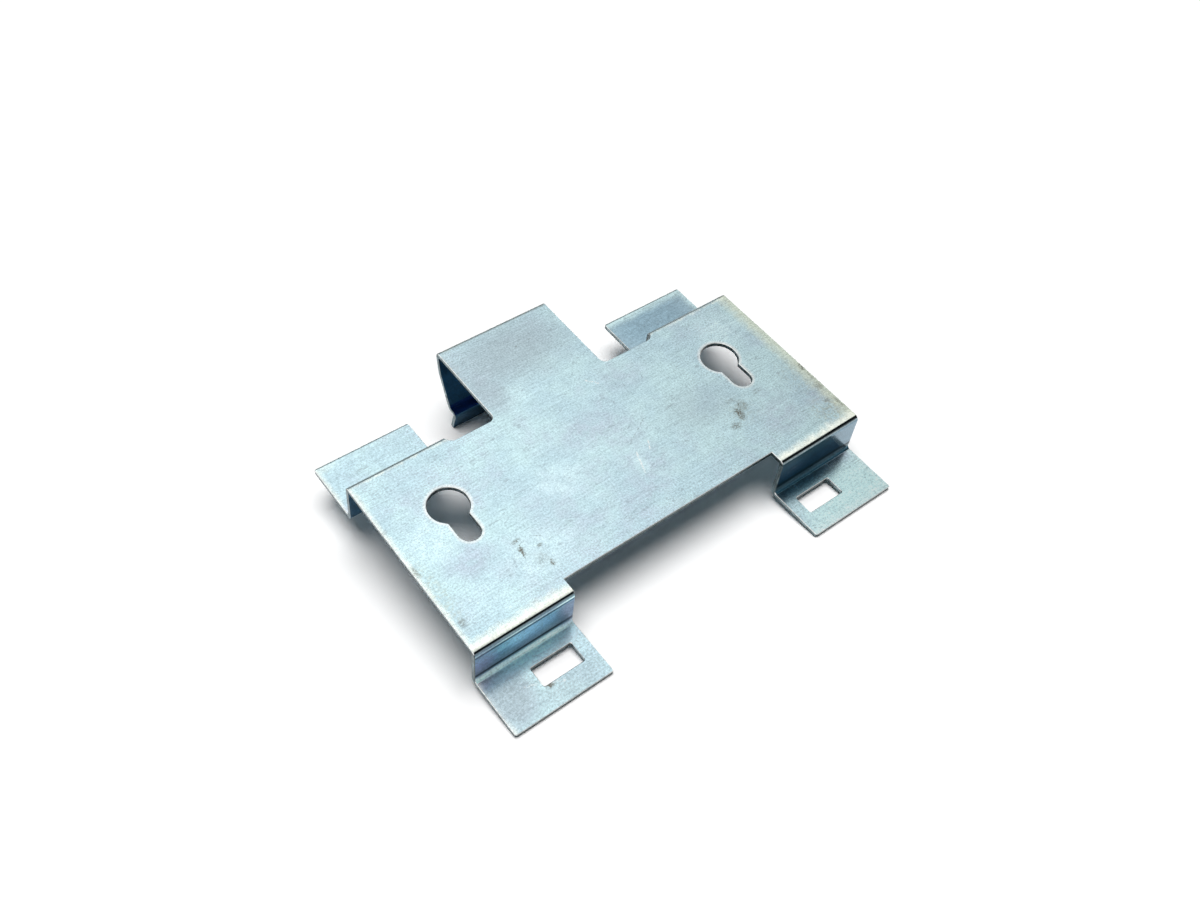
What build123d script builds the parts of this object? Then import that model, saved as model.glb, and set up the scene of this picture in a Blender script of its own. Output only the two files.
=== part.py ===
"""Stamped mounting bracket, folded from one piece of sheet steel.

A flat raised plate with two keyholes stands on four feet that are joggled down and outwards,
and a tongue at the rear is folded down into a sprung hook with a detent lip.

Millimetres. The origin is midway between the round ends of the two keyholes, on the plate's outer face.
+X runs along the plate, +Y towards the hook and +Z out of the plate's outer face.
"""

import os

from build123d import *

# Sheet, folds and punching
sheet = 1.0
bend_radius = 0.2  # inside the plate's folds and the hook's
foot_bend_radius = 0.7  # inside the folds between risers and feet
bow_radius = 10.0  # mid-line of the gentle bend that gives the hook its spring
punch_corner = 0.35  # corners of the slots
foot_corner = 0.5  # free corners of the feet
rollover = 0.12  # broken edge that the punch leaves on the outer side of the cut outline

# Plate
plate_length = 100.0
front_reach = 30.05  # keyhole line to the outer face of the front risers
rear_reach = 14.95  # keyhole line to the outer face of the rear risers
stand_off = 10.2  # plate's outer face above the feet's outer faces
riser_lean = 0.25  # how far a riser leans outwards between the plate and its foot
front_setback = 3.65  # front edge between the feet, behind the risers' outer faces
rear_setback = 2.1  # rear edge between the feet, in front of the risers' outer faces

# Feet
foot_width = 22.8
front_foot_length = 13.1  # root of the riser to the foot's free edge
rear_foot_length = 13.9

# Slots in the front feet
tab_slot_length = 9.65
tab_slot_width = 4.6
tab_slot_inset = 3.45  # middle of the slot, inwards of the middle of its foot
tab_slot_reach = 5.85  # root of the riser to the middle of the slot

# Keyholes
keyhole_spacing = 71.6
keyhole_round = 8.65
keyhole_slot_width = 4.8
keyhole_slot_run = 7.3  # middle of the round end to the middle of the slot's end
keyhole_neck_radius = 0.6

# Tongue
tongue_width = 28.7
tongue_shift = -1.4  # middle of the tongue from the middle of the plate
tongue_reach = 20.55  # rear risers' outer face to the outside of the fold
tongue_root_radius = 1.5
rear_notch_radius = 1.8  # where the rear edge meets a rear foot's strip

# Hook, measured down its mid-line from the fold: drops go down, leans go back under the plate
bow_drop = 5.3
bow_lean = 0.9
kink_drop = 8.2
kink_lean = 3.9
detent_drop = 0.4
detent_depth = 2.0
lip_drop = 4.9
lip_flare = 1.1  # how far the lip turns out again
lip_end_radius = 0.4  # outer corner of the lip's end

# Worked out from the sizes above
half_sheet = sheet / 2
fold_mid_radius = bend_radius + half_sheet
foot_mid_radius = foot_bend_radius + half_sheet
plate_mid = -half_sheet
foot_mid = -stand_off - half_sheet
front_root = -front_reach - riser_lean
rear_root = rear_reach + riser_lean
foot_inner = plate_length / 2 - foot_width
foot_middle = plate_length / 2 - foot_width / 2
front_edge = -front_reach + front_setback
rear_edge = rear_reach - rear_setback
fold_mid = rear_reach + tongue_reach - half_sheet
well_clear = plate_length


def folded_strip(corners, radii, low_x, high_x):
    """Sheet folded along its mid-line through (y, z) corners, from low_x to high_x."""
    mid_line = FilletPolyline(*corners, radius=radii)
    section = Plane.YZ * trace(mid_line, line_width=sheet)
    return Pos(low_x, 0, 0) * extrude(section, amount=high_x - low_x)


def plate_and_feet():
    """Front feet, front risers, plate, rear risers and rear feet, all at the plate's full length."""
    corners = [
        (front_root - front_foot_length, foot_mid),
        (front_root + half_sheet, foot_mid),
        (-front_reach + half_sheet, plate_mid),
        (rear_reach - half_sheet, plate_mid),
        (rear_root - half_sheet, foot_mid),
        (rear_root + rear_foot_length, foot_mid),
    ]
    radii = [foot_mid_radius, fold_mid_radius, fold_mid_radius, foot_mid_radius]
    return folded_strip(corners, radii, -plate_length / 2, plate_length / 2)


def tongue_and_hook(half_width):
    """Tongue, bowed flap, detent and lip."""
    bow = (fold_mid - bow_lean, plate_mid - bow_drop)
    kink = (bow[0] - kink_lean, bow[1] - kink_drop)
    detent = (kink[0] - detent_depth, kink[1] - detent_drop)
    tip = (detent[0] + lip_flare, detent[1] - lip_drop)
    corners = [(0, plate_mid), (fold_mid, plate_mid), bow, kink, detent, tip]
    radii = [fold_mid_radius, bow_radius, fold_mid_radius, fold_mid_radius]
    return folded_strip(corners, radii, tongue_shift - half_width, tongue_shift + half_width)


def front_notch():
    """Plan of what is cut away between the front feet."""
    return Pos(0, front_edge) * Rectangle(2 * foot_inner, well_clear, align=(Align.CENTER, Align.MAX))


def rear_window(foot_side, tongue_side):
    """Plan of what is cut away between a rear foot and the tongue."""
    middle = (foot_side + tongue_side) / 2
    width = abs(foot_side - tongue_side)
    window = Pos(middle, rear_edge) * Rectangle(width, well_clear, align=(Align.CENTER, Align.MIN))
    window = fillet(window.vertices().sort_by_distance((foot_side, rear_edge))[0], rear_notch_radius)
    return fillet(window.vertices().sort_by_distance((tongue_side, rear_edge))[0], tongue_root_radius)


def keyhole():
    """Round end at the origin, with its slot running towards the front."""
    slot = Pos(0, -keyhole_slot_run / 2) * SlotCenterToCenter(keyhole_slot_run, keyhole_slot_width, rotation=90)
    outline = Circle(keyhole_round / 2) + slot
    necks = outline.vertices().sort_by_distance((0, -keyhole_round / 2))[:2]
    return fillet(necks, keyhole_neck_radius)


def punched():
    """Plan of everything that the tool punches through the folded sheet."""
    plan = front_notch()
    for side in (-1, 1):
        plan += rear_window(side * foot_inner, tongue_shift + side * tongue_width / 2)
        plan += Pos(side * keyhole_spacing / 2, 0) * keyhole()
        tab_slot = RectangleRounded(tab_slot_length, tab_slot_width, punch_corner)
        plan += Pos(side * (foot_middle - tab_slot_inset), front_root - tab_slot_reach) * tab_slot
    return plan


def blank():
    """The folded and punched sheet, still with square cut edges."""
    half_width = tongue_width / 2 + tongue_root_radius
    sheet_metal = plate_and_feet()
    sheet_metal -= Pos(tongue_shift, rear_edge, 0) * Box(
        2 * half_width, well_clear, well_clear, align=(Align.CENTER, Align.MIN, Align.CENTER)
    )
    sheet_metal += tongue_and_hook(half_width)
    sheet_metal -= extrude(punched(), amount=well_clear, both=True)
    upright = sheet_metal.edges().filter_by(Axis.Z).group_by(Axis.Y)
    return fillet(upright[0] + upright[-1], foot_corner)


def bracket():
    """The finished bracket, with the lip's end rounded and the outer side's cut edges broken."""
    part = blank()
    lip_corner = part.edges().filter_by(Axis.X).sort_by(Axis.Z)[1]
    part = fillet(lip_corner, lip_end_radius)
    facing_out = part.faces().filter_by(lambda face: face.normal_at().Z > 0.999).sort_by(Axis.Z)
    outer_face = facing_out[-1]
    cut = outer_face.edges().filter_by(Axis.X, reverse=True)
    cut += outer_face.edges().sort_by_distance((0, front_edge, 0))[:1]
    for face in facing_out[:-1]:
        for hole in face.inner_wires():
            cut += hole.edges()
    return chamfer(cut, rollover)


os.makedirs("parts", exist_ok=True)
export_step(bracket(), "parts/bracket.step")
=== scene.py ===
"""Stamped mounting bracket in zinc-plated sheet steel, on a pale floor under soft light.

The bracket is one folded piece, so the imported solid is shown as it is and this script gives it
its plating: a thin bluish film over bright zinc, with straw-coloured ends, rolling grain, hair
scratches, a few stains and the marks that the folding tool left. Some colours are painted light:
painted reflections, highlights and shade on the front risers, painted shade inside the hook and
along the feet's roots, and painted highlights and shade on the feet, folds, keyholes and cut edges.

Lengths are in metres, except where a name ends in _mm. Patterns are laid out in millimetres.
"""

import logging
import math
from dataclasses import dataclass, field
from enum import Enum

import bmesh
import bpy
from mathutils import Matrix, Vector


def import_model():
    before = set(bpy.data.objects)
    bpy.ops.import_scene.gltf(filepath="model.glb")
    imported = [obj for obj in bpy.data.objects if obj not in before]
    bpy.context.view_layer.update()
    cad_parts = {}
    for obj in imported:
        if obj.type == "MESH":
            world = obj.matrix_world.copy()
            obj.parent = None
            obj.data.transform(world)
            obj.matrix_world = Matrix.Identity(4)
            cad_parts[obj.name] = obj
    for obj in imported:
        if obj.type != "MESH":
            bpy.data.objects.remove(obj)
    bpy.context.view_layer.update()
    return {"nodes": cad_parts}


Colour = tuple[float, float, float]
Point = tuple[float, float, float]
Ramp = tuple[tuple[float, Colour], ...]
Socket = bpy.types.NodeSocket
Node = bpy.types.Node
Tree = bpy.types.NodeTree

MM = 0.001
log = logging.getLogger("bracket")

# Places on the bracket, in millimetres in its own frame
SHEET = 1.0
FEET = -10.2  # height of the feet's outer faces
FRONT_ROOT = -31.2  # y where the front feet leave their risers
ROOTS = (-30.3, 15.3)  # y of the risers' outer faces at the feet, front and rear
FLAT_FEET = (-33.3, 17.3)  # y beyond which the feet are flat
FREE_EDGES = (-43.4, 29.1)  # y of the feet's free edges
FLAT_PLATE = (-28.0, 13.6)  # y within which the plate is flat
FOOT_SIDE = 26.5  # x just inside the feet's inner ends
DETENT_STEP = (-14.3, -12.9)  # heights of the hook's step
KEYHOLE = 35.8  # x of the middle of a keyhole's round end
KEYHOLE_ROUND = 4.33
KEYHOLE_SLOT = 2.4
KEYHOLE_RUN = 7.3


class Way(Enum):
    """How two shades are laid over each other."""

    COVER = "MIX"
    DARKEN = "MULTIPLY"


class Bench:
    """Places shader nodes in one tree and joins them."""

    def __init__(self, tree: Tree) -> None:
        """Takes the material's, world's or group's tree to work in."""
        self.tree = tree
        self.placed = 0

    def node(self, kind: str, **settings: object) -> Node:
        """Adds a node.

        Args:
            kind: the node's type name.
            settings: attributes to set on it.

        Returns:
            The new node.
        """
        made = self.tree.nodes.new(kind)
        for name, value in settings.items():
            setattr(made, name, value)
        made.location = (180 * (self.placed % 12), -220 * (self.placed // 12))
        self.placed += 1
        return made

    def feed(self, target: Socket, source: object) -> None:
        """Joins a socket to a target, or sets the target where the source is a plain value.

        Args:
            target: the input socket.
            source: an output socket, a number, or a tuple of numbers.
        """
        if isinstance(source, Socket):
            self.tree.links.new(source, target)
        elif isinstance(source, tuple) and target.type == "RGBA":
            target.default_value = (*source, 1.0)
        else:
            target.default_value = source

    def sum(self, work: str, *terms: object) -> Socket:
        """Works out one number.

        Args:
            work: the Math node's operation.
            terms: its inputs, as sockets or numbers.

        Returns:
            The result's socket.
        """
        made = self.node("ShaderNodeMath", operation=work)
        for target, source in zip(made.inputs, terms):
            self.feed(target, source)
        return made.outputs[0]

    def times(self, first: object, *others: object) -> Socket:
        """Multiplies masks and numbers together."""
        for other in others:
            first = self.sum("MULTIPLY", first, other)
        return first

    def strongest(self, *masks: object) -> Socket:
        """Takes the strongest of several masks at each place."""
        total: object = 0.0
        for mask in masks:
            total = self.sum("MAXIMUM", total, mask)
        return total

    def grey(self, value: Socket) -> Socket:
        """Turns one number into a grey colour."""
        made = self.node("ShaderNodeCombineColor")
        for channel in range(3):
            self.feed(made.inputs[channel], value)
        return made.outputs["Color"]

    def vector(self, work: str, *terms: object) -> Socket:
        """Works out a vector, or a length or dot product as a number.

        Args:
            work: the Vector Math node's operation.
            terms: its inputs, as sockets, tuples or numbers. SCALE takes a vector and a number.

        Returns:
            The result's socket.
        """
        made = self.node("ShaderNodeVectorMath", operation=work)
        targets = (made.inputs[0], made.inputs["Scale"]) if work == "SCALE" else made.inputs
        for target, source in zip(targets, terms):
            self.feed(target, source)
        return made.outputs["Value" if work in ("DOT_PRODUCT", "LENGTH", "DISTANCE") else "Vector"]

    def slope(self, value: object, low: float, high: object, start: float = 0, end: float = 1) -> Socket:
        """Eases from start to end while a value goes from low to high.

        Args:
            value: the value's socket.
            low: where the change begins.
            high: where the change ends.
            start: result at and below low.
            end: result at and above high.

        Returns:
            The eased value's socket.
        """
        made = self.node("ShaderNodeMapRange", interpolation_type="SMOOTHSTEP")
        for name, source in (
            ("Value", value),
            ("From Min", low),
            ("From Max", high),
            ("To Min", start),
            ("To Max", end),
        ):
            self.feed(made.inputs[name], source)
        return made.outputs["Result"]

    def within(self, value: object, low: float, high: float) -> Socket:
        """Gives 1 where a value lies between two bounds and 0 outside."""
        return self.times(self.sum("GREATER_THAN", value, low), self.sum("LESS_THAN", value, high))

    def lay(self, share: object, under: object, over: object, way: Way = Way.COVER) -> Socket:
        """Lays one colour over another.

        Args:
            share: how much of the upper colour shows, from 0 to 1.
            under: the lower colour.
            over: the upper colour.
            way: how they combine.

        Returns:
            The mixed colour's socket.
        """
        made = self.node("ShaderNodeMix", data_type="RGBA", blend_type=way.value)
        self.feed(made.inputs[0], share)
        self.feed(made.inputs[6], under)
        self.feed(made.inputs[7], over)
        return made.outputs[2]

    def noise(self, place: Socket, per_mm: float, detail: float = 2.0, roughness: float = 0.5) -> Socket:
        """Adds a noise pattern.

        Args:
            place: coordinates in millimetres.
            per_mm: blotches in a millimetre.
            detail: octaves of finer noise.
            roughness: strength of the finer octaves.

        Returns:
            The noise's value, around 0.5.
        """
        made = self.node("ShaderNodeTexNoise", noise_dimensions="3D")
        self.feed(made.inputs["Vector"], place)
        self.feed(made.inputs["Scale"], per_mm)
        self.feed(made.inputs["Detail"], detail)
        self.feed(made.inputs["Roughness"], roughness)
        return made.outputs["Fac"]

    def stretch(self, place: Socket, by: Point, turn: Point = (0.0, 0.0, 0.0)) -> Socket:
        """Scales coordinates along each axis and turns them by angles in degrees."""
        made = self.node("ShaderNodeMapping", vector_type="POINT")
        self.feed(made.inputs["Vector"], place)
        made.inputs["Scale"].default_value = by
        made.inputs["Rotation"].default_value = tuple(math.radians(angle) for angle in turn)
        return made.outputs["Vector"]

    def layers(self, value: Socket, stops: Ramp) -> Socket:
        """Colours a value through a row of stops.

        Args:
            value: the value's socket.
            stops: each stop's value and colour, lowest first.

        Returns:
            The colour's socket.
        """
        low, high = stops[0][0], stops[-1][0]
        share = self.node("ShaderNodeMapRange")
        for name, source in (("Value", value), ("From Min", low), ("From Max", high)):
            self.feed(share.inputs[name], source)
        made = self.node("ShaderNodeValToRGB")
        self.feed(made.inputs[0], share.outputs["Result"])
        ramp = made.color_ramp
        while len(ramp.elements) < len(stops):
            ramp.elements.new(0.5)
        for element, (place, colour) in zip(ramp.elements, stops):
            element.position = (place - low) / (high - low)
            element.color = (*colour, 1.0)
        return made.outputs["Color"]


def blank_material(name: str) -> tuple[bpy.types.Material, Bench]:
    """Starts a material with no nodes yet, and a bench to place them from."""
    made = bpy.data.materials.new(name)
    made.use_nodes = True
    made.node_tree.nodes.clear()
    return made, Bench(made.node_tree)


def shared_effect(name: str, takes: dict[str, object], gives: tuple[str, ...]) -> tuple[Bench, Node, Node]:
    """Starts a node group with named inputs and outputs.

    Args:
        name: the group's name.
        takes: each input's name and its default, "place" for a vector.
        gives: each output's name.

    Returns:
        The bench inside the group, its input node and its output node.
    """
    tree = bpy.data.node_groups.new(name, "ShaderNodeTree")
    for label, default in takes.items():
        kind = "NodeSocketVector" if default == "place" else "NodeSocketFloat"
        socket = tree.interface.new_socket(label, in_out="INPUT", socket_type=kind)
        if kind == "NodeSocketFloat":
            socket.default_value = default
    for label in gives:
        tree.interface.new_socket(label, in_out="OUTPUT", socket_type="NodeSocketFloat")
    bench = Bench(tree)
    return bench, bench.node("NodeGroupInput"), bench.node("NodeGroupOutput")


def rolled_grain() -> Tree:
    """Builds the fine grain of a surface: specks, mottling and streaks along X.

    Returns:
        The group, which gives "Shade" around 1 and "Height" around 0.5.
    """
    takes = {"Place": "place", "Specks": 0.48, "Mottling": 0.16, "Streaks": 0.20}
    bench, given, out = shared_effect("rolled grain", takes, ("Shade", "Height"))
    place = given.outputs["Place"]
    specks = bench.noise(place, 2.4, 2.0, 0.7)
    mottling = bench.noise(place, 0.6, 2.0, 0.6)
    streaks = bench.noise(bench.stretch(place, (0.12, 2.2, 1.0)), 1.0, 2.0, 0.55)
    shade: object = 1.0
    for pattern, amount in ((specks, "Specks"), (mottling, "Mottling"), (streaks, "Streaks")):
        swing = bench.times(bench.sum("SUBTRACT", pattern, 0.5), 2.0)
        shade = bench.sum("MULTIPLY_ADD", swing, given.outputs[amount], shade)
    bench.feed(out.inputs["Shade"], shade)
    height = bench.sum("MULTIPLY_ADD", streaks, 0.4, bench.times(specks, 0.6))
    bench.feed(out.inputs["Height"], height)
    return bench.tree


def hair_scratches() -> Tree:
    """Builds fine broken scratches that run mostly along X.

    Returns:
        The group, which gives "Mask", 1 on a scratch.
    """
    takes = {"Place": "place", "Width": 0.02, "Cover": 0.5}
    bench, given, out = shared_effect("hair scratches", takes, ("Mask",))
    place = given.outputs["Place"]
    drawn = bench.noise(bench.stretch(place, (0.09, 0.5, 0.5), (0.0, 0.0, 12.0)), 1.0, 1.0, 0.4)
    off_line = bench.sum("ABSOLUTE", bench.sum("SUBTRACT", drawn, 0.5))
    line = bench.slope(off_line, 0.0, given.outputs["Width"], 1.0, 0.0)
    kept = bench.sum("GREATER_THAN", bench.noise(place, 0.16, 2.0, 0.6), given.outputs["Cover"])
    fade = bench.slope(bench.noise(place, 0.9, 1.0), 0.42, 0.6)
    bench.feed(out.inputs["Mask"], bench.times(line, kept, fade))
    return bench.tree


def stroke_reach() -> Tree:
    """Measures how far a place is from a straight stroke.

    Returns:
        The group, which takes the stroke's start, direction and length and gives "Away".
    """
    takes = {"Place": "place", "Start": "place", "Toward": "place", "Length": 1.0}
    bench, given, out = shared_effect("stroke reach", takes, ("Away",))
    offset = bench.vector("SUBTRACT", given.outputs["Place"], given.outputs["Start"])
    along = bench.vector("DOT_PRODUCT", offset, given.outputs["Toward"])
    held = bench.sum("MINIMUM", bench.sum("MAXIMUM", along, 0.0), given.outputs["Length"])
    nearest = bench.vector("SCALE", given.outputs["Toward"], held)
    bench.feed(out.inputs["Away"], bench.vector("DISTANCE", offset, nearest))
    return bench.tree


@dataclass(frozen=True)
class Spot:
    """One soft blotch on the plating."""

    middle_mm: Point
    reach_mm: Point
    strength: float = 1.0

    def mask(self, bench: Bench, place: Socket) -> Socket:
        """Draws the blotch as a mask, strongest in the middle and 0 outside."""
        offset = bench.vector("SUBTRACT", place, self.middle_mm)
        away = bench.vector("LENGTH", bench.vector("DIVIDE", offset, self.reach_mm))
        return bench.slope(away, 0.2, 1.0, self.strength, 0.0)


@dataclass(frozen=True)
class Stroke:
    """One straight scratch or rubbed line on the plating."""

    start_mm: Point
    end_mm: Point
    width_mm: float = 0.3
    strength: float = 1.0

    def mask(self, bench: Bench, place: Socket, reach: Tree) -> Socket:
        """Draws the stroke.

        Args:
            bench: where to place the nodes.
            place: coordinates in millimetres.
            reach: the shared stroke effect.

        Returns:
            A mask, strongest on the mid-line and 0 outside.
        """
        run = Vector(self.end_mm) - Vector(self.start_mm)
        measured = bench.node("ShaderNodeGroup", node_tree=reach)
        bench.feed(measured.inputs["Place"], place)
        bench.feed(measured.inputs["Start"], self.start_mm)
        bench.feed(measured.inputs["Toward"], tuple(run.normalized()))
        bench.feed(measured.inputs["Length"], run.length)
        core, rim = 0.15 * self.width_mm, 0.7 * self.width_mm
        return bench.slope(measured.outputs["Away"], core, rim, self.strength, 0.0)


@dataclass(frozen=True)
class Effects:
    """The shared effects that the finishes are made with."""

    grain: Tree
    scratches: Tree
    reach: Tree


@dataclass
class Reading:
    """What the plating knows about the place that it colours."""

    place: Socket
    x: Socket
    y: Socket
    z: Socket
    side: Socket
    forward: Socket
    front: Socket
    top: Socket


@dataclass(frozen=True)
class ZincPlating:
    """Zinc plating with a thin clear-blue film, as the whole bracket wears it."""

    name: str = "zinc_plating"
    blue: Colour = (0.54, 0.73, 0.80)
    ice: Colour = (0.60, 0.81, 0.85)
    bright_ice: Colour = (0.72, 0.94, 0.99)
    lavender: Colour = (0.53, 0.63, 0.73)
    straw: Colour = (0.84, 0.90, 0.72)
    cream: Colour = (0.97, 1.0, 0.88)
    # Painted highlight towards the feet's free edges.
    free_end_painted_highlight: Colour = (0.76, 0.99, 1.0)
    stain: Colour = (0.15, 0.14, 0.11)
    rust: Colour = (0.50, 0.49, 0.36)
    # Violet for the risers' dragged streaks, and for painted shade on the feet beside the risers.
    riser_violet: Colour = (0.46, 0.46, 0.70)
    # Painted shade at the left riser's inner end, and a painted pale reflection at the right riser's end.
    corner_painted_shade: Colour = (0.20, 0.25, 0.36)
    corner_painted_reflection: Colour = (0.19, 0.29, 0.36)
    # Painted highlights at the left front foot's root.
    root_painted_highlight: Colour = (0.57, 0.93, 1.0)
    root_end_painted_highlight: Colour = (0.92, 0.97, 1.0)
    # Painted shade and reflection on the faces that look under the plate, inside the hook and on the rear
    # risers.
    step_blue: Colour = (0.006, 0.025, 0.12)
    hook_blue: Colour = (0.06, 0.15, 0.24)
    flap_blue: Colour = (0.018, 0.066, 0.13)
    # Painted shade at the right front foot's root.
    root_painted_shade: Colour = (0.16, 0.38, 0.48)
    haze: Colour = (0.44, 0.55, 0.60)
    rear_haze: Colour = (0.32, 0.48, 0.58)
    # Painted sheen on the right front foot.
    foot_painted_sheen: Colour = (0.69, 0.98, 1.0)
    cut_grey: Colour = (0.15, 0.19, 0.20)
    # Dark for the cut edges' lower part, and painted shade on cut walls that face forward.
    cut_low: Colour = (0.035, 0.05, 0.05)
    # Pale for painted highlights on keyhole and cut-edge rims, and for rubbed pale strokes.
    rim: Colour = (0.97, 0.99, 0.97)
    # Painted shade on rims that face the rear.
    rim_painted_shade: Colour = (0.08, 0.11, 0.11)
    scratch: Colour = (0.30, 0.36, 0.40)
    roughness: float = 0.26
    burnished: float = 0.13
    dull: float = 0.48
    # Less metal and more cream where the film is rubbed pale and bloomed, and where a highlight is painted.
    bloom_and_highlight_dulling: float = 0.7
    bloom_and_highlight_cover: float = 0.9
    grain_strength: float = 0.15
    grain_depth: float = 0.00002
    # The left riser's colour by height: painted reflections, highlights and shade more than film.
    left_riser_painted_light: Ramp = (
        # painted highlight on the root of the foot
        (FEET, (0.66, 1.00, 1.00)),
        (-9.30, (0.92, 1.00, 1.00)),
        (-8.85, (0.38, 0.55, 0.68)),
        (-8.60, (0.16, 0.24, 0.30)),
        # painted shade: dark line in the fold
        (-8.35, (0.01, 0.02, 0.035)),
        (-7.95, (0.015, 0.03, 0.05)),
        # painted reflection: blue riser
        (-7.60, (0.27, 0.38, 0.48)),
        (-5.50, (0.28, 0.53, 0.70)),
        (-3.90, (0.38, 0.75, 0.94)),
        (-2.10, (0.36, 0.70, 0.88)),
        # line that the folding tool left
        (-1.90, (0.04, 0.14, 0.24)),
        (-1.50, (0.04, 0.14, 0.24)),
        # painted highlight: bright shoulder, fading into the upper fold
        (-1.30, (0.78, 1.00, 1.00)),
        (-1.00, (0.70, 0.96, 1.00)),
        (-0.75, (0.18, 0.30, 0.36)),
        (-0.55, (0.26, 0.37, 0.41)),
        (-0.38, (0.18, 0.24, 0.26)),
        # painted shade in the crease, and above it the plate's pale band: film rubbed pale, and a painted
        # highlight
        (-0.29, (0.01, 0.016, 0.018)),
        (-0.08, (0.01, 0.016, 0.018)),
        (-0.03, (0.97, 1.00, 0.90)),
    )
    # The right riser's colour by height: painted reflections, highlights and shade more than film.
    right_riser_painted_light: Ramp = (
        # painted shade on the root of the foot, with a paler painted highlight in the fold
        (FEET, (0.03, 0.11, 0.17)),
        (-9.80, (0.07, 0.14, 0.18)),
        (-9.40, (0.18, 0.26, 0.30)),
        (-9.00, (0.15, 0.23, 0.27)),
        # painted shade: dark line in the fold
        (-8.40, (0.003, 0.02, 0.035)),
        (-7.90, (0.003, 0.02, 0.035)),
        # painted reflection: deep blue riser
        (-7.30, (0.005, 0.05, 0.10)),
        (-4.80, (0.006, 0.05, 0.10)),
        (-2.50, (0.016, 0.075, 0.125)),
        (-0.80, (0.02, 0.065, 0.09)),
        # painted highlight: bright shoulder
        (-0.62, (0.34, 0.43, 0.46)),
        (-0.42, (0.29, 0.36, 0.38)),
        # painted shade in the crease, and above it the plate's pale band: film rubbed pale, and a painted
        # highlight
        (-0.30, (0.01, 0.015, 0.018)),
        (-0.08, (0.01, 0.015, 0.018)),
        (-0.03, (0.97, 1.00, 0.90)),
    )
    stains: tuple[Spot, ...] = (
        Spot((28.6, -14.7, 0.0), (1.5, 2.6, 2.0)),
        Spot((25.6, -16.9, 0.0), (1.9, 1.2, 2.0), 0.8),
        Spot((30.6, -13.4, 0.0), (2.2, 2.2, 2.0), 0.5),
        Spot((29.4, -11.0, 0.0), (2.0, 1.0, 2.0), 0.4),
        Spot((36.1, -12.1, 0.0), (1.8, 0.9, 2.0), 0.5),
        Spot((49.5, -12.4, 0.0), (0.7, 1.6, 2.0), 0.9),
        Spot((48.9, -18.6, 0.0), (1.3, 1.7, 2.0), 0.6),
        Spot((49.4, -15.4, 0.0), (0.5, 2.0, 2.0), 0.5),
        Spot((47.4, -22.6, 0.0), (1.2, 0.8, 2.0), 0.6),
        Spot((49.4, -24.4, 0.0), (0.6, 2.4, 2.0), 0.6),
        Spot((-30.2, -16.8, 0.0), (0.7, 1.8, 2.0)),
        Spot((-29.9, -14.4, 0.0), (1.6, 0.5, 2.0), 0.8),
        Spot((-26.5, -17.6, 0.0), (0.9, 0.7, 2.0), 0.8),
        Spot((-26.8, -22.2, 0.0), (0.7, 1.2, 2.0)),
        Spot((-28.0, -20.4, 0.0), (2.2, 2.2, 2.0), 0.35),
        Spot((-38.9, -38.9, FEET), (1.4, 0.9, 1.0)),
        Spot((-49.3, -9.6, 0.0), (0.8, 2.0, 2.0), 0.7),
        Spot((-48.1, -23.2, 0.0), (1.2, 1.2, 2.0), 0.6),
    )
    rusty: tuple[Spot, ...] = (
        Spot((46.5, -14.0, 0.0), (5.5, 9.0, 3.0), 0.5),
        Spot((46.0, -25.0, 0.0), (6.5, 6.5, 3.0), 0.9),
        Spot((29.5, -14.0, 0.0), (6.0, 6.0, 3.0), 0.5),
        Spot((-16.0, 28.5, 0.0), (2.5, 9.0, 3.0), 0.8),
        Spot((-48.5, -16.0, 0.0), (3.0, 14.0, 3.0), 0.7),
    )
    lavender_clouds: tuple[Spot, ...] = (
        Spot((-39.4, -12.9, 0.0), (8.0, 6.0, 3.0), 0.8),
        Spot((-12.9, 21.1, 0.0), (4.0, 9.0, 3.0), 0.9),
        Spot((-1.1, -0.5, 0.0), (12.0, 7.0, 3.0), 0.7),
        Spot((14.0, 8.0, 0.0), (9.0, 6.0, 3.0), 0.5),
        Spot((36.0, -20.0, 0.0), (9.0, 7.0, 3.0), 0.6),
        Spot((-48.0, -37.0, FEET), (8.0, 9.0, 3.0)),
    )
    pale_clouds: tuple[Spot, ...] = (
        Spot((-14.0, -7.4, 0.0), (9.0, 6.0, 3.0), 0.9),
        Spot((-42.0, -22.0, 0.0), (9.0, 6.0, 3.0), 0.5),
        Spot((2.4, -12.9, 0.0), (2.2, 3.5, 3.0), 0.9),
        Spot((-10.0, 16.0, 0.0), (9.0, 4.0, 3.0), 0.6),
        Spot((36.0, -3.0, 0.0), (9.0, 6.5, 3.0), 0.5),
        Spot((-28.0, -19.0, 0.0), (13.0, 9.0, 3.0), 0.75),
        Spot((-43.0, -5.0, 0.0), (8.0, 9.0, 3.0)),
        Spot((40.0, -41.0, FEET), (20.0, 11.0, 3.0)),
        Spot((41.0, 6.0, 0.0), (9.0, 8.0, 3.0)),
    )
    hazy: tuple[Spot, ...] = (
        Spot((-3.0, 27.0, 0.0), (23.0, 13.0, 3.0), 0.85),
        Spot((-46.5, -37.0, FEET), (8.0, 9.0, 3.0), 0.95),
        Spot((-35.0, -41.0, FEET), (13.0, 5.0, 3.0), 0.5),
        Spot((22.0, -8.0, 0.0), (13.0, 9.0, 3.0), 0.35),
        Spot((-13.0, 20.0, 0.0), (7.0, 10.0, 3.0), 0.8),
    )
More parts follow.
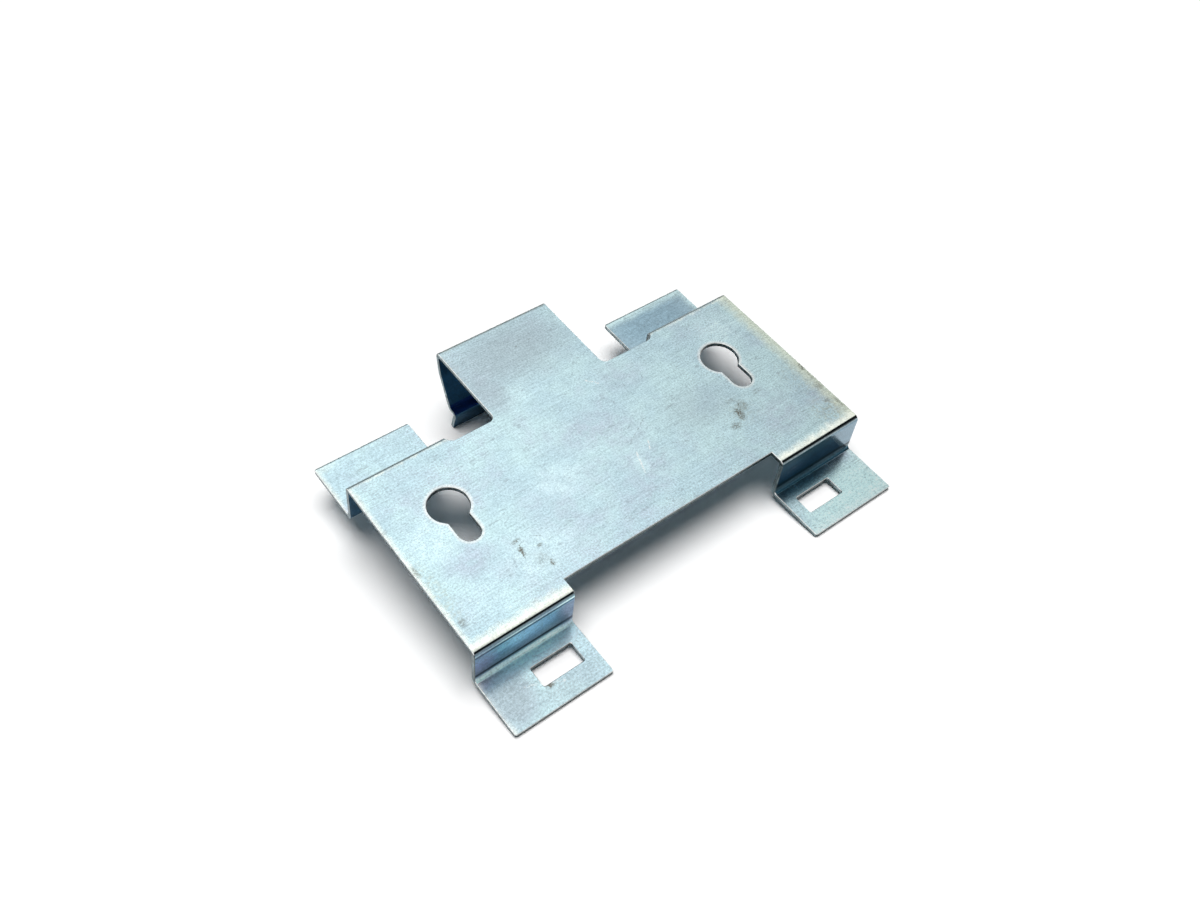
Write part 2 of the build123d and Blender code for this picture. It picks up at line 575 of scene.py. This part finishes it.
    dark_strokes: tuple[Stroke, ...] = (
        Stroke((2.8, -8.5, 0.0), (11.0, -3.9, 0.0), 0.22, 0.5),
        Stroke((11.1, -12.8, 0.0), (14.8, -14.3, 0.0), 0.22, 0.6),
        Stroke((-0.5, 27.2, 0.0), (3.8, 27.6, 0.0), 0.25, 0.7),
        Stroke((-30.6, -18.4, 0.0), (-29.9, -15.6, 0.0), 0.40, 1.0),
        Stroke((-29.9, -15.6, 0.0), (-28.4, -14.6, 0.0), 0.25, 0.7),
        Stroke((-28.4, -14.2, 0.0), (-25.0, -16.0, 0.0), 0.22, 0.6),
        Stroke((28.2, -16.2, 0.0), (30.2, -12.4, 0.0), 0.30, 0.8),
        Stroke((-36.0, -8.6, 0.0), (-34.4, -9.6, 0.0), 0.25, 0.7),
        Stroke((-38.6, -39.4, FEET), (-40.4, -38.0, FEET), 0.35, 0.9),
        Stroke((-44.0, 6.0, 0.0), (-41.0, 4.0, 0.0), 0.20, 0.5),
        Stroke((20.0, 3.0, 0.0), (24.5, 2.2, 0.0), 0.20, 0.4),
    )
    pale_strokes: tuple[Stroke, ...] = (
        Stroke((6.5, 11.1, 0.0), (8.4, 8.8, 0.0), 0.35, 0.8),
        Stroke((7.4, -9.3, 0.0), (6.4, -11.2, 0.0), 0.35, 0.8),
        Stroke((1.6, -15.5, 0.0), (3.4, -10.4, 0.0), 0.45, 0.7),
        Stroke((-43.0, -36.4, FEET), (-36.0, -39.6, FEET), 0.40, 0.5),
        Stroke((-16.2, 20.0, 0.0), (-16.2, 33.0, 0.0), 0.60, 0.7),
    )

    def material(self, effects: Effects) -> bpy.types.Material:
        """Builds the plating.

        Args:
            effects: the shared effects.

        Returns:
            The material.
        """
        made, bench = blank_material(self.name)
        at = self.read(bench)
        cut = self.cut_mask(bench, at)
        whole = bench.sum("SUBTRACT", 1.0, cut)
        folded = bench.times(self.front_fold(bench, at), whole)
        bloom_and_highlight = bench.times(self.bloom_and_highlight(bench, at), bench.sum("SUBTRACT", 1.0, folded))
        inside = bench.times(self.looking_under(bench, at), whole)
        colour = self.ends(bench, at, self.film(bench, at))
        # Cream where the film is rubbed pale and bloomed, partly a painted highlight on the folds and left
        # edge.
        colour = bench.lay(bench.times(bloom_and_highlight, self.bloom_and_highlight_cover), colour, self.cream)
        colour = self.foot_film(bench, at, colour)
        colour = self.foot_rims(bench, at, colour)
        colour = self.keyhole_rings(bench, at, colour)
        # The front risers take painted reflections, highlights and shade.
        colour = bench.lay(folded, colour, self.riser_painted_light(bench, at))
        # Painted shade on the faces that look under the plate.
        colour = bench.lay(inside, colour, self.under_plate_painted_shade(bench, at))
        colour = self.cut_edges(bench, at, cut, colour)
        grained = bench.node("ShaderNodeGroup", node_tree=effects.grain)
        bench.feed(grained.inputs["Place"], at.place)
        colour = bench.lay(1.0, colour, bench.grey(grained.outputs["Shade"]), Way.DARKEN)
        colour = self.marks(bench, at, colour, effects)
        rough = self.matt(bench, at, folded, inside, cut)
        self.finish(bench, colour, grained.outputs["Height"], rough, bench.times(bloom_and_highlight, whole))
        return made

    def read(self, bench: Bench) -> Reading:
        """Reads the place in millimetres and which way the surface faces.

        Args:
            bench: where to place the nodes.

        Returns:
            The reading.
        """
        source = bench.node("ShaderNodeTexCoord")
        place = bench.vector("SCALE", source.outputs["Object"], 1.0 / MM)
        axis = bench.node("ShaderNodeSeparateXYZ")
        bench.feed(axis.inputs[0], place)
        facing = bench.node("ShaderNodeSeparateXYZ")
        bench.feed(facing.inputs[0], source.outputs["Normal"])
        side = bench.sum("ABSOLUTE", facing.outputs["X"])
        forward = bench.times(facing.outputs["Y"], -1.0)
        front = bench.sum("ABSOLUTE", forward)
        x, y, z = (axis.outputs[name] for name in "XYZ")
        return Reading(place, x, y, z, side, forward, front, facing.outputs["Z"])

    def spotted(self, bench: Bench, place: Socket, spots: tuple[Spot, ...]) -> Socket:
        """Draws several blotches as one mask."""
        return bench.strongest(*(spot.mask(bench, place) for spot in spots))

    def wander(self, bench: Bench, at: Reading) -> Socket:
        """Gives the wavering, up to 1.5 mm either way, that keeps the borders of the pale and straw bands
        ragged.
        """
        return bench.sum("MULTIPLY_ADD", bench.noise(at.place, 0.5, 3.0, 0.7), 3.0, -1.5)

    def slow_wander(self, bench: Bench, at: Reading) -> Socket:
        """Gives the slower wavering, up to 2 mm either way, of the bands on the feet."""
        return bench.sum("MULTIPLY_ADD", bench.noise(at.place, 0.25, 2.0, 0.6), 4.0, -2.0)

    def on_plate(self, bench: Bench, at: Reading) -> Socket:
        """Finds the plate's outer face, easing off down its folds."""
        return bench.slope(at.z, -1.2 * SHEET, -0.2 * SHEET)

    def on_feet(self, bench: Bench, at: Reading) -> Socket:
        """Finds the feet, easing off up their risers."""
        return bench.slope(at.z, FEET + 0.6, FEET + 0.1)

    def outward(self, bench: Bench, at: Reading, lines: tuple[float, float]) -> Socket:
        """Measures how far a place is past a front or a rear line, away from the plate's middle."""
        middle, half = sum(lines) / 2, (lines[1] - lines[0]) / 2
        off_middle = bench.sum("ABSOLUTE", bench.sum("SUBTRACT", at.y, middle))
        return bench.sum("SUBTRACT", off_middle, half)

    def cut_mask(self, bench: Bench, at: Reading) -> Socket:
        """Finds the edges where the sheet was cut through.

        Args:
            bench: where to place the nodes.
            at: the reading.

        Returns:
            1 on a cut edge, 0 on the sheet's two faces and on its folds.
        """
        in_sheet = bench.sum("GREATER_THAN", at.z, -1.05 * SHEET)
        in_plate = bench.times(in_sheet, bench.within(at.y, *FLAT_PLATE))
        beside = bench.sum("GREATER_THAN", bench.sum("ABSOLUTE", at.x), FOOT_SIDE)
        beyond = bench.sum("GREATER_THAN", self.outward(bench, at, FLAT_FEET), 0.0)
        in_foot = bench.times(beside, beyond, bench.sum("LESS_THAN", at.z, FEET + 0.05))
        across = bench.times(bench.sum("MAXIMUM", in_plate, in_foot), bench.slope(at.front, 0.3, 0.5))
        return bench.sum("MAXIMUM", across, bench.slope(at.side, 0.3, 0.5))

    def film(self, bench: Bench, at: Reading) -> Socket:
        """Lays out the film's clouds of blue, ice and lavender.

        Args:
            bench: where to place the nodes.
            at: the reading.

        Returns:
            The film's colour.
        """
        ice = bench.slope(bench.noise(at.place, 0.07, 3.0, 0.6), 0.38, 0.62)
        colour = bench.lay(ice, self.blue, self.ice)
        moved = bench.vector("ADD", at.place, (37.0, 11.0, 5.0))
        drift = bench.slope(bench.noise(moved, 0.08, 3.0, 0.6), 0.45, 0.66)
        ragged = bench.slope(bench.noise(at.place, 0.35, 3.0, 0.65), 0.36, 0.60, 0.35, 1.0)
        lavender = self.spotted(bench, at.place, self.lavender_clouds)
        lavender = bench.sum("MAXIMUM", bench.times(drift, 0.6), lavender)
        colour = bench.lay(bench.times(lavender, ragged), colour, self.lavender)
        pale = self.spotted(bench, at.place, self.pale_clouds)
        return bench.lay(bench.times(pale, ragged, 0.8), colour, self.bright_ice)

    def ends(self, bench: Bench, at: Reading, colour: Socket) -> Socket:
        """Turns the film straw-coloured at the right end and the tongue's fold, with rusty flecks.

        Args:
            bench: where to place the nodes.
            at: the reading.
            colour: the film's colour.

        Returns:
            The new colour.
        """
        wander = self.wander(bench, at)
        right = bench.slope(bench.sum("ADD", at.x, wander), 46.0, 49.6)
        rear = bench.slope(bench.sum("ADD", at.y, wander), 33.6, 36.4)
        mostly_top = bench.sum("MULTIPLY_ADD", self.on_plate(bench, at), 0.85, 0.15)
        straw = bench.times(bench.strongest(right, rear), mostly_top)
        colour = bench.lay(bench.times(straw, 0.75), colour, self.straw)
        rusty = self.spotted(bench, at.place, self.rusty)
        flecks = bench.slope(bench.noise(at.place, 1.3, 4.0, 0.75), 0.46, 0.60)
        return bench.lay(bench.times(rusty, flecks, 0.5), colour, self.rust)

    def bloom_and_highlight(self, bench: Bench, at: Reading) -> Socket:
        """Finds the folds and free edges whose film is rubbed pale and bloomed, which also carry a painted
        highlight.

        Args:
            bench: where to place the nodes.
            at: the reading.

        Returns:
            A mask, strongest on the folds.
        """
        wander = self.wander(bench, at)
        along = bench.sum("ADD", at.y, wander)
        top = self.on_plate(bench, at)
        front_fold = bench.times(bench.slope(along, -26.6, -29.4), top)
        rear_fold = bench.times(bench.within(at.y, 13.2, 15.3), bench.slope(along, 13.2, 14.8))
        rear_fold = bench.times(rear_fold, bench.slope(bench.sum("ABSOLUTE", at.x), 24.0, 27.0), top)
        foot_corner = Spot((-49.5, 28.5, FEET), (5.0, 2.0, 1.0), 0.3).mask(bench, at.place)
        # a painted highlight along the left edge
        left = bench.slope(bench.sum("MULTIPLY_ADD", wander, 0.5, at.x), -48.7, -50.0, 0.0, 0.6)
        left = bench.times(left, bench.slope(at.z, FEET - 1.4, FEET + 0.2))
        bloom_and_highlight = bench.strongest(front_fold, rear_fold, left, foot_corner)
        return bench.times(bloom_and_highlight, bench.slope(at.forward, -0.30, -0.12))

    def front_fold(self, bench: Bench, at: Reading) -> Socket:
        """Finds the front folds and risers, down to the roots of their feet."""
        past_plate = bench.slope(at.y, -28.95, -29.05)
        before_foot = bench.slope(at.y, -31.15, -30.85)
        facing = bench.slope(at.forward, 0.12, 0.25)
        below = bench.slope(self.down_fold(bench, at), -0.03, -0.08)
        return bench.times(past_plate, before_foot, facing, below)

    def down_fold(self, bench: Bench, at: Reading) -> Socket:
        """Measures the height on the front folds, a little lower on the left as it was pressed."""
        return bench.sum("ADD", at.z, bench.slope(at.x, 10.0, -10.0, 0.0, 0.10))

    def foot_film(self, bench: Bench, at: Reading, colour: Socket) -> Socket:
        """Paints shade along the roots of the feet, darkest at the right front root, paints highlights at
        the left front root and a sheen on the right front foot, and dulls some places.

        Args:
            bench: where to place the nodes.
            at: the reading.
            colour: the film's colour.

        Returns:
            The new colour.
        """
        # painted shade: a violet band on the feet beside their risers
        off_root = bench.sum("ADD", self.outward(bench, at, ROOTS), self.slow_wander(bench, at))
        near_root = bench.slope(off_root, 1.0, 4.6, 1.0, 0.0)
        colour = bench.lay(bench.times(self.on_feet(bench, at), near_root, 0.28), colour, self.riser_violet)
        # painted highlights at the left front root, a painted sheen on the right front foot, painted shade
        # at its root, and a haze on the right rear foot
        patches = (
            (Spot((-38.0, FRONT_ROOT, FEET), (16.0, 2.6, 1.0)), self.root_painted_highlight),
            (Spot((-50.0, FRONT_ROOT, FEET), (6.0, 2.4, 1.0)), self.root_end_painted_highlight),
            (Spot((42.0, -40.5, FEET), (22.0, 12.0, 3.0), 0.9), self.foot_painted_sheen),
            (Spot((34.0, FRONT_ROOT, FEET), (14.0, 4.0, 2.0), 0.95), self.root_painted_shade),
            (Spot((38.0, 24.0, FEET), (24.0, 14.0, 3.0), 0.9), self.rear_haze),
        )
        for spot, shade in patches:
            colour = bench.lay(spot.mask(bench, at.place), colour, shade)
        return bench.lay(self.spotted(bench, at.place, self.hazy), colour, self.haze)

    def foot_rims(self, bench: Bench, at: Reading, colour: Socket) -> Socket:
        """Paints a highlight towards the feet's free edges and the right end, least on the left feet.

        Args:
            bench: where to place the nodes.
            at: the reading.
            colour: the film's colour.

        Returns:
            The new colour.
        """
        wander = self.slow_wander(bench, at)
        past_edge = bench.sum("MULTIPLY_ADD", wander, 0.35, self.outward(bench, at, FREE_EDGES))
        free_end_painted_highlight = bench.slope(past_edge, -2.85, -0.05, 0.0, 0.8)
        left = bench.times(bench.slope(at.x, 5.0, -5.0), bench.slope(at.y, 5.0, -5.0, 0.75, 1.0))
        free_end_painted_highlight = bench.times(free_end_painted_highlight, bench.sum("SUBTRACT", 1.0, left))
        right_end = bench.slope(bench.sum("MULTIPLY_ADD", wander, 0.2, at.x), 48.0, 49.8, 0.0, 0.6)
        pale = bench.times(self.on_feet(bench, at), bench.sum("MAXIMUM", free_end_painted_highlight, right_end))
        return bench.lay(pale, colour, self.free_end_painted_highlight)

    def keyhole_rings(self, bench: Bench, at: Reading, colour: Socket) -> Socket:
        """Lays a painted highlight as a pale ring round the keyholes, where the punch rolled the edge.

        Args:
            bench: where to place the nodes.
            at: the reading.
            colour: the film's colour.

        Returns:
            The new colour.
        """
        off_x = bench.sum("SUBTRACT", bench.sum("ABSOLUTE", at.x), KEYHOLE)
        held = bench.sum("MINIMUM", bench.sum("MAXIMUM", at.y, -KEYHOLE_RUN), 0.0)
        gaps = []
        for off_y, radius in ((at.y, KEYHOLE_ROUND), (bench.sum("SUBTRACT", at.y, held), KEYHOLE_SLOT)):
            squares = bench.sum("ADD", bench.times(off_x, off_x), bench.times(off_y, off_y))
            gaps.append(bench.sum("SUBTRACT", bench.sum("SQRT", squares), radius))
        ring = bench.slope(bench.sum("MINIMUM", *gaps), 0.25, 0.95, 0.55, 0.0)
        return bench.lay(bench.times(ring, bench.slope(at.z, -0.9, -0.3)), colour, self.rim)

    def riser_painted_light(self, bench: Bench, at: Reading) -> Socket:
        """Paints reflections, highlights and shade as colour on the front risers, streaked where the tool
        dragged.

        Args:
            bench: where to place the nodes.
            at: the reading.

        Returns:
            The film's colour.
        """
        bands = bench.noise(bench.stretch(at.place, (0.10, 0.10, 0.35)), 1.0, 2.0, 0.5)
        down = self.down_fold(bench, at)
        left = bench.layers(down, self.left_riser_painted_light)
        left = bench.lay(bench.slope(bands, 0.40, 0.62, 0.3, 0.0), left, self.riser_violet, Way.DARKEN)
        # painted shade at the left riser's inner end, and violet at its outer end
        inner = Spot((-28.2, -30.1, -4.0), (4.6, 3.0, 7.0), 0.85).mask(bench, at.place)
        left = bench.lay(bench.times(inner, bench.slope(at.z, -1.9, -2.3)), left, self.corner_painted_shade)
        outer = Spot((-48.5, -30.3, -4.6), (5.0, 3.0, 4.6), 0.6).mask(bench, at.place)
        left = bench.lay(outer, left, self.riser_violet)
        right = bench.layers(down, self.right_riser_painted_light)
        # a painted pale reflection at the end of the right riser
        corner = bench.times(self.reflection_corner(bench, at), bench.within(at.z, -8.0, -0.7))
        right = bench.lay(corner, right, self.corner_painted_reflection)
        return bench.lay(bench.slope(at.x, -1.0, 1.0), left, right)

    def reflection_corner(self, bench: Bench, at: Reading) -> Socket:
        """Finds the end of the right riser past a slanting line, where a pale reflection is painted."""
        return bench.slope(bench.sum("MULTIPLY_ADD", at.z, 0.75, at.x), 40.6, 41.4)

    def looking_under(self, bench: Bench, at: Reading) -> Socket:
        """Finds the faces of the hook and rear risers that look under the plate."""
        below = bench.slope(at.z, -1.1 * SHEET, -1.4 * SHEET)
        behind = bench.slope(at.y, 13.0, 13.4)
        return bench.times(below, behind, bench.slope(at.forward, 0.06, 0.19))

    def under_plate_painted_shade(self, bench: Bench, at: Reading) -> Socket:
        """Paints shade and reflection as dark colour on faces that look under the plate, darkest on the
        hook's detent step.
        """
        on_flap = bench.times(bench.slope(at.y, 28.6, 29.4), bench.slope(at.z, -14.4, -13.6))
        film = bench.lay(on_flap, self.hook_blue, self.flap_blue)
        return bench.lay(bench.within(at.z, *DETENT_STEP), film, self.step_blue)

    def cut_edges(self, bench: Bench, at: Reading, cut: Socket, colour: Socket) -> Socket:
        """Gives the cut edges their grey break, a painted highlight on the top rim and a dark lower line,
        with painted shade on walls that face forward and a painted dark line on rims that face the rear.

        Args:
            bench: where to place the nodes.
            at: the reading.
            cut: where the cut edges are.
            colour: the colour so far.

        Returns:
            The new colour.
        """
        torn = bench.noise(bench.stretch(at.place, (1.6, 1.6, 0.4)), 1.0, 3.0, 0.6)
        grey = bench.lay(bench.slope(torn, 0.40, 0.75, 0.0, 0.45), self.cut_grey, self.blue)
        under_plate = bench.within(at.z, -1.2 * SHEET, -0.72 * SHEET)
        under_foot = bench.within(at.z, FEET - 1.2 * SHEET, FEET - 0.72 * SHEET)
        grey = bench.lay(bench.times(bench.strongest(under_plate, under_foot), 0.75), grey, self.cut_low)
        # painted shade on cut walls that face forward
        grey = bench.lay(bench.times(bench.slope(at.forward, 0.3, 0.8), 0.7), grey, self.cut_low)
        colour = bench.lay(cut, colour, grey)
        # painted highlight on the top rims of the cut edges
        broken = bench.times(bench.slope(at.top, 0.35, 0.55), bench.slope(at.top, 0.98, 0.90))
        colour = bench.lay(bench.times(broken, cut, 0.85), colour, self.rim)
        # painted shade: a dark line on rims that face the rear and at the rear feet's free edges
        turning = bench.times(bench.slope(at.forward, -0.15, -0.45), bench.slope(at.top, 0.30, 0.55))
        rear_rim = bench.times(bench.slope(at.y, 28.66, 28.82), bench.within(at.z, FEET - 0.2, FEET + 0.2))
        dark = bench.sum("MAXIMUM", turning, bench.times(rear_rim, bench.slope(at.y, 29.3, 29.15)))
        return bench.lay(bench.times(dark, 0.8), colour, self.rim_painted_shade)

    def marks(self, bench: Bench, at: Reading, colour: Socket, effects: Effects) -> Socket:
        """Adds stains, rubbed strokes and hair scratches.

        Args:
            bench: where to place the nodes.
            at: the reading.
            colour: the colour so far.
            effects: the shared effects.

        Returns:
            The new colour.
        """
        shake = bench.grey(bench.noise(at.place, 0.9, 3.0, 0.7))
        offset = bench.vector("SCALE", bench.vector("SUBTRACT", shake, (0.5, 0.5, 0.5)), 1.6)
        shaken = bench.vector("ADD", at.place, offset)
        broken = bench.slope(bench.noise(at.place, 2.0, 2.0, 0.7), 0.36, 0.56)
        for strokes, shade in ((self.pale_strokes, self.rim), (self.dark_strokes, self.stain)):
            drawn = bench.strongest(*(line.mask(bench, shaken, effects.reach) for line in strokes))
            colour = bench.lay(bench.times(drawn, broken), colour, shade)
        specks = bench.slope(bench.noise(at.place, 2.2, 4.0, 0.8), 0.42, 0.54, 0.12, 0.95)
        stained = bench.times(self.spotted(bench, shaken, self.stains), specks)
        colour = bench.lay(stained, colour, self.stain)
        scratched = bench.node("ShaderNodeGroup", node_tree=effects.scratches)
        bench.feed(scratched.inputs["Place"], at.place)
        share = bench.times(scratched.outputs["Mask"], bench.slope(at.forward, 0.3, 0.0, 0.08, 0.45))
        return bench.lay(share, colour, self.scratch)

    def matt(self, bench: Bench, at: Reading, folded: Socket, inside: Socket, cut: Socket) -> Socket:
        """Works out how dull the plating is.

        Args:
            bench: where to place the nodes.
            at: the reading.
            folded: where the front folds and risers are.
            inside: where the sheet looks under the plate.
            cut: where the cut edges are.

        Returns:
            The roughness.
        """
        rough = bench.sum("MULTIPLY_ADD", bench.noise(at.place, 0.3, 2.0), 0.12, self.roughness - 0.06)
        crisp = self.reflection_corner(bench, at)
        dragged = bench.sum("MULTIPLY_ADD", crisp, self.burnished - self.dull, self.dull - self.roughness)
        rough = bench.sum("MULTIPLY_ADD", folded, dragged, rough)
        rough = bench.sum("MULTIPLY_ADD", inside, self.dull - self.roughness, rough)
        root = Spot((-37.0, -31.5, FEET), (16.0, 4.0, 1.2), 0.22).mask(bench, at.place)
        rough = bench.sum("MAXIMUM", rough, bench.sum("ADD", root, 0.2))
        return bench.sum("MULTIPLY_ADD", cut, 0.12, rough)

    def finish(self, bench: Bench, colour: Socket, height: Socket, rough: Socket, bloom_and_highlight: Socket) -> None:
        """Adds the metal itself, a little less metallic where its film has bloomed and where a highlight is
        painted.

        Args:
            bench: where to place the nodes.
            colour: the finished colour.
            height: the grain's height.
            rough: how dull the plating is.
            bloom_and_highlight: where it is rubbed pale and bloomed, and where a highlight is painted.
        """
        bump = bench.node("ShaderNodeBump")
        bump.inputs["Strength"].default_value = self.grain_strength
        bump.inputs["Distance"].default_value = self.grain_depth
        bench.feed(bump.inputs["Height"], height)
        metal = bench.node("ShaderNodeBsdfPrincipled")
        bench.feed(metal.inputs["Metallic"], bench.sum("MULTIPLY_ADD", bloom_and_highlight, -self.bloom_and_highlight_dulling, 1.0))
        bench.feed(metal.inputs["Base Color"], colour)
        bench.feed(metal.inputs["Roughness"], rough)
        bench.feed(metal.inputs["Normal"], bump.outputs["Normal"])
        out = bench.node("ShaderNodeOutputMaterial")
        bench.feed(out.inputs["Surface"], metal.outputs["BSDF"])


@dataclass
class Bracket:
    """The folded bracket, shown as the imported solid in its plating."""

    node: str = "bracket"
    plating: ZincPlating = field(default_factory=ZincPlating)

    def dress(self, nodes: dict[str, bpy.types.Object]) -> bpy.types.Object:
        """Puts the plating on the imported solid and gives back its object."""
        piece = nodes[self.node]
        effects = Effects(rolled_grain(), hair_scratches(), stroke_reach())
        piece.material_slots[0].material = self.plating.material(effects)
        return piece


def flat_sheet(name: str, width: float, depth: float, place: Matrix) -> bpy.types.Object:
    """Makes a flat four-sided sheet.

    Args:
        name: the object's name.
        width: size along X before it is placed.
        depth: size along Y before it is placed.
        place: where the sheet goes.

    Returns:
        The linked object, which stays at the origin.
    """
    shape = bmesh.new()
    bmesh.ops.create_grid(shape, x_segments=1, y_segments=1, size=0.5)
    bmesh.ops.scale(shape, vec=(width, depth, 1.0), verts=shape.verts)
    bmesh.ops.transform(shape, matrix=place, verts=shape.verts)
    mesh = bpy.data.meshes.new(name)
    shape.to_mesh(mesh)
    shape.free()
    made = bpy.data.objects.new(name, mesh)
    bpy.context.scene.collection.objects.link(made)
    return made


@dataclass(frozen=True)
class Card:
    """A plain card that stands beside the bracket to be mirrored in the metal."""

    name: str
    colour: Colour
    middle: Point
    facing: Point
    width: float
    height: float

    def stand(self) -> bpy.types.Object:
        """Makes the card's object, which is seen only in gloss."""
        turn = Vector(self.facing).to_track_quat("Z", "Y").to_matrix().to_4x4()
        made = flat_sheet(self.name, self.width, self.height, Matrix.Translation(self.middle) @ turn)
        made.visible_camera = False
        made.visible_diffuse = False
        made.visible_shadow = False
        paper, bench = blank_material(self.name)
        glow = bench.node("ShaderNodeEmission")
        bench.feed(glow.inputs["Color"], self.colour)
        bench.feed(bench.node("ShaderNodeOutputMaterial").inputs["Surface"], glow.outputs[0])
        made.data.materials.append(paper)
        return made


@dataclass
class Studio:
    """Floor, light and cards around the bracket."""

    rest_line_mm: Point = (0.0, -43.4, -11.2)
    rest_slope: float = -0.1137
    rest_gap: float = 0.00002
    floor_size: float = 8.0
    floor_fade: tuple[float, float] = (0.3, 0.8)
    floor_seen: Colour = (0.98, 0.98, 0.98)
    floor_bounce: Colour = (0.60, 0.62, 0.65)
    fill: float = 0.05
    bright_toward: Point = (0.198, 0.425, 0.883)
    bright_sky: float = 1.22
    dim_sky: float = 0.58
    sky_edge: tuple[float, float] = (0.885, 0.992)
    window_toward: Point = (-0.94, 0.0, 0.34)
    window: float = 1.05
    window_edge: tuple[float, float] = (0.30, 0.65)
    lamp_place: Point = (0.03, 0.44, 3.0)
    lamp_size: float = 2.7
    lamp_watts: float = 114.0
    cards: tuple[Card, ...] = (
        Card("dark_card", (0.006, 0.018, 0.030), (0.34, -0.34, 0.575), (-1.0, 1.0, 0.0), 1.1, 0.41),
    )

    def white_for_gloss(self, bench: Bench) -> Socket:
        """Tells rays that show the background from those that only light the scene.

        Args:
            bench: where to place the nodes.

        Returns:
            1 for rays that show the background, 0 for rays that light a dull surface.
        """
        path = bench.node("ShaderNodeLightPath")
        seen = bench.sum("MAXIMUM", path.outputs["Is Camera Ray"], path.outputs["Is Glossy Ray"])
        seen = bench.sum("MAXIMUM", seen, path.outputs["Is Transmission Ray"])
        return bench.times(seen, bench.sum("LESS_THAN", path.outputs["Diffuse Depth"], 0.5))

    def lay_floor(self) -> bpy.types.Object:
        """Lays the floor under the bracket's two front feet and its hook.

        Returns:
            The floor's object.
        """
        tilt = Matrix.Rotation(math.atan(self.rest_slope), 4, "X")
        touch = Matrix.Translation(Vector(self.rest_line_mm) * MM - Vector((0.0, 0.0, self.rest_gap)))
        floor = flat_sheet("floor", self.floor_size, self.floor_size, touch @ tilt)
        paper, bench = blank_material("floor_paper")
        seen = self.white_for_gloss(bench)
        diffuse = bench.node("ShaderNodeBsdfDiffuse")
        bench.feed(diffuse.inputs["Color"], bench.lay(seen, self.floor_bounce, self.floor_seen))
        glow = bench.node("ShaderNodeEmission")
        away = bench.vector("LENGTH", bench.node("ShaderNodeTexCoord").outputs["Object"])
        mix = bench.node("ShaderNodeMixShader")
        bench.feed(mix.inputs[0], bench.times(seen, bench.slope(away, *self.floor_fade)))
        bench.feed(mix.inputs[1], diffuse.outputs[0])
        bench.feed(mix.inputs[2], glow.outputs[0])
        bench.feed(bench.node("ShaderNodeOutputMaterial").inputs["Surface"], mix.outputs[0])
        floor.data.materials.append(paper)
        return floor

    def light_world(self) -> bpy.types.World:
        """Makes the pale surroundings, white where they are seen and softer where they only light.

        Returns:
            The world.
        """
        world = bpy.data.worlds.new("pale_room")
        bpy.context.scene.world = world
        world.use_nodes = True
        world.node_tree.nodes.clear()
        bench = Bench(world.node_tree)
        air = bench.node("ShaderNodeBackground")
        bench.feed(air.inputs["Color"], (1.0, 1.0, 1.0))
        way = bench.node("ShaderNodeTexCoord").outputs["Generated"]
        toward = bench.vector("DOT_PRODUCT", way, self.bright_toward)
        above = bench.slope(toward, *self.sky_edge, self.dim_sky, self.bright_sky)
        sideways = bench.vector("DOT_PRODUCT", way, self.window_toward)
        sky = bench.sum("MAXIMUM", above, bench.slope(sideways, *self.window_edge, 0.0, self.window))
        mirrored = bench.times(self.white_for_gloss(bench), sky)
        seen = bench.node("ShaderNodeLightPath").outputs["Is Camera Ray"]
        strength = bench.sum("MAXIMUM", bench.sum("MAXIMUM", mirrored, self.fill), seen)
        bench.feed(air.inputs["Strength"], strength)
        bench.feed(bench.node("ShaderNodeOutputWorld").inputs["Surface"], air.outputs[0])
        return world

    def hang_lamp(self) -> bpy.types.Object:
        """Hangs the round soft lamp that shines down at the bracket and isn't mirrored in it."""
        data = bpy.data.lights.new("key_softbox", "AREA")
        data.shape = "DISK"
        data.size = self.lamp_size
        data.energy = self.lamp_watts
        lamp = bpy.data.objects.new("key_softbox", data)
        lamp.location = self.lamp_place
        lamp.rotation_mode = "QUATERNION"
        lamp.rotation_quaternion = Vector(self.lamp_place).to_track_quat("Z", "Y")
        lamp.visible_glossy = False
        lamp.visible_camera = False
        bpy.context.scene.collection.objects.link(lamp)
        return lamp

    def build(self) -> list[bpy.types.Object]:
        """Builds the surroundings and gives back the floor, the cards and the lamp."""
        self.light_world()
        made = [self.lay_floor()]
        for card in self.cards:
            made.append(card.stand())
        made.append(self.hang_lamp())
        return made


@dataclass(frozen=True)
class ViewPoint:
    """Where the bracket is looked at from."""

    place_mm: Point = (-106.966, -111.345, 187.079)
    right: Point = (0.78543, -0.61189, 0.09316)
    up: Point = (0.43819, 0.65602, 0.61451)
    lens_mm: float = 34.8
    sensor_mm: float = 36.0

    def stand(self) -> bpy.types.Object:
        """Sets up the camera.

        Returns:
            The camera's object.
        """
        data = bpy.data.cameras.new("camera")
        data.lens = self.lens_mm
        data.sensor_width = self.sensor_mm
        data.sensor_fit = "HORIZONTAL"
        data.clip_start = 0.01
        data.clip_end = 50.0
        camera = bpy.data.objects.new("camera", data)
        right, up = Vector(self.right), Vector(self.up)
        axes = Matrix((right, up, right.cross(up))).transposed().to_4x4()
        camera.matrix_world = Matrix.Translation(Vector(self.place_mm) * MM) @ axes
        bpy.context.scene.collection.objects.link(camera)
        bpy.context.scene.camera = camera
        return camera


def main() -> None:
    """Builds the scene in order and reports each piece."""
    logging.basicConfig(level=logging.INFO, format="%(name)s: %(message)s")
    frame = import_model()
    bpy.context.scene.view_settings.view_transform = "Standard"
    log.info("camera %s", ViewPoint().stand().name)
    piece = Bracket().dress(frame["nodes"])
    log.info("%s wears %s", piece.name, piece.material_slots[0].material.name)
    for thing in Studio().build():
        log.info("stage %s", thing.name)


if __name__ == "__main__":
    main()
